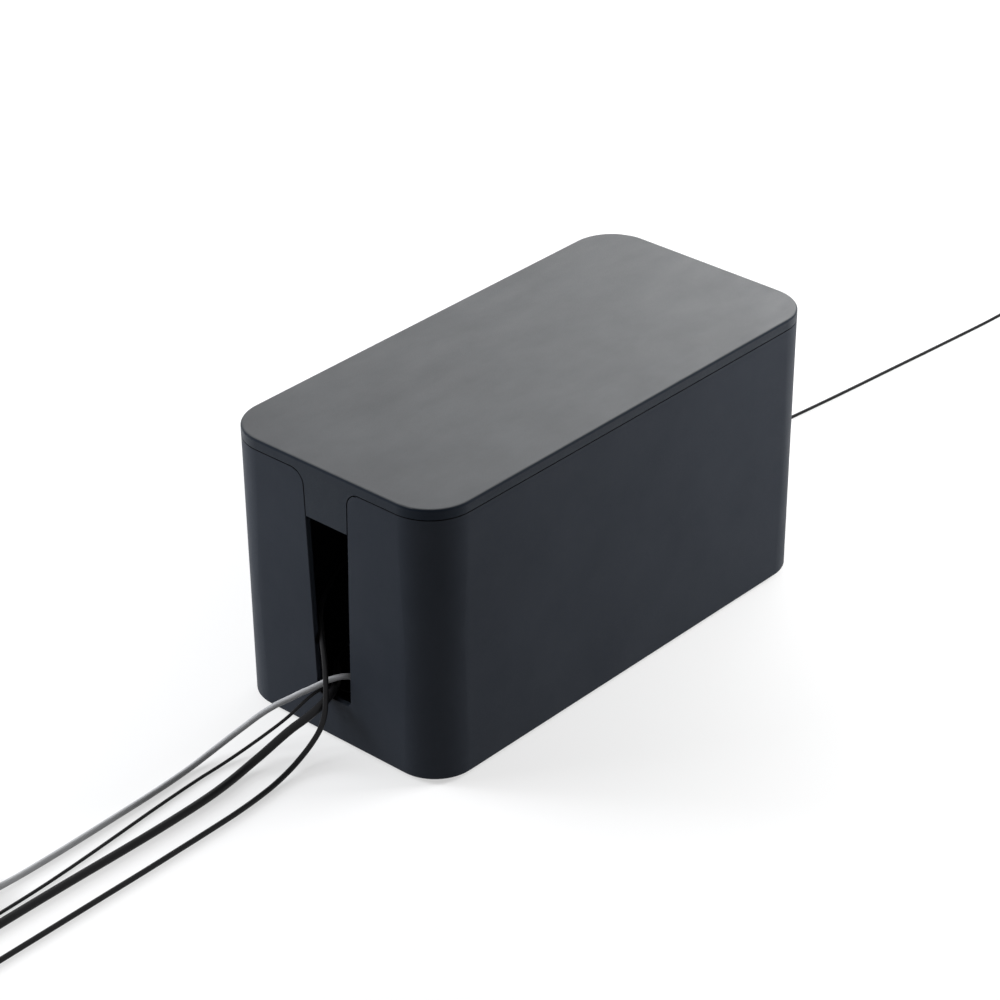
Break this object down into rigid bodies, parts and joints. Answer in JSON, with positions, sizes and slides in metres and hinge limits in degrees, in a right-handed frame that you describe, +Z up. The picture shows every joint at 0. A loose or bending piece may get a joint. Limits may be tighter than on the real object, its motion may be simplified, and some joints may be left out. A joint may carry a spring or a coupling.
{
  "type": "cable management box",
  "caption": "Lidded desk box with round corners and a cord slot in each end, holding an outlet strip with plugged-in adapters; power leads leave through the slots to tied coils.",
  "frame": {"origin": "on the surface that the feet stand on, below the middle of the box", "axes": "+X along the box, away from the slot that most of the leads leave by; +Y across the box, towards the side that the outlet strip lies along; +Z up"},
  "size_m": [0.7971, 0.1811, 0.1265],
  "materials": {
    "box_plastic": "fine matte texture",
    "lid_plastic": "fine matte texture",
    "foot_rubber": "soft, dull",
    "strip_plastic": "satin",
    "screw_steel": "zinc plated",
    "contact_brass": "plain stamped",
    "switch_black": "satin",
    "switch_red": "glossy, translucent red",
    "reset_white": "satin",
    "lens_amber": "clear amber plastic",
    "relief_black": "soft, dull",
    "adapter_black": "fine matte texture",
    "adapter_base_black": "satin",
    "blade_metal": "nickel plated",
    "adapter_gray": "satin",
    "relief_gray": "soft, dull",
    "cord_black": "soft satin jacket",
    "tie_black": "woven hook-and-loop strap",
    "plug_black": "moulded, satin",
    "cord_gray": "soft satin jacket",
    "plug_gray": "moulded, satin"
  },
  "bodies": {
    "box": {"box_body": "box_plastic", "foot_front_left": "foot_rubber", "foot_front_right": "foot_rubber", "foot_rear_left": "foot_rubber", "foot_rear_right": "foot_rubber", "strip_base": "strip_plastic", "strip_cover": "strip_plastic", "strip_pads": "foot_rubber", "cover_screws": "screw_steel", "live_bar": "contact_brass", "neutral_bar": "contact_brass", "switch_body": "switch_black", "breaker_body": "switch_black", "pilot_lens": "lens_amber", "supply_gland": "relief_black", "loop_adapter_case": "adapter_black", "loop_adapter_base": "adapter_base_black", "loop_adapter_blades": "blade_metal", "loop_adapter_relief": "relief_black", "thin_adapter_case": "adapter_black", "thin_adapter_base": "adapter_base_black", "thin_adapter_blades": "blade_metal", "thin_adapter_relief": "relief_black", "gray_adapter_case": "adapter_gray", "gray_adapter_base": "adapter_base_black", "gray_adapter_blades": "blade_metal", "gray_adapter_relief": "relief_gray", "rear_adapter_case": "adapter_black", "rear_adapter_base": "adapter_base_black", "rear_adapter_blades": "blade_metal", "rear_adapter_relief": "relief_black", "supply_run": "cord_black", "supply_coil": "cord_black", "supply_tie": "tie_black", "supply_plug": "plug_black", "supply_plug_blades": "blade_metal", "gray_run": "cord_gray", "gray_coil": "cord_gray", "gray_tie": "tie_black", "gray_plug": "plug_gray", "gray_plug_barrel": "blade_metal", "loop_run": "cord_black", "loop_coil": "cord_black", "loop_tie": "tie_black", "loop_plug": "plug_black", "loop_plug_barrel": "blade_metal", "thin_run": "cord_black", "thin_coil": "cord_black", "thin_tie": "tie_black", "thin_plug": "plug_black", "thin_plug_barrel": "blade_metal", "rear_run": "cord_black", "rear_coil": "cord_black", "rear_tie": "tie_black", "rear_plug": "plug_black", "rear_plug_barrel": "blade_metal"},
    "lid": {"lid": "lid_plastic"},
    "rocker": {"switch_rocker": "switch_red"},
    "reset": {"reset_button": "reset_white"}
  },
  "joints": [
    {"name": "lid_lift", "type": "slide", "parent": "box", "child": "lid", "axis": [0, 0, 1], "range_m": [0, 0.08]},
    {"name": "rocker_tilt", "type": "hinge", "parent": "box", "child": "rocker", "pos_m": [-0.04803, 0.03503, 0.0333], "axis": [1, 0, 0], "range_deg": [0, 16]},
    {"name": "reset_press", "type": "slide", "parent": "box", "child": "reset", "axis": [0, 0, -1], "range_m": [0, 0.002], "stiffness_N_per_m": 200}
  ]
}
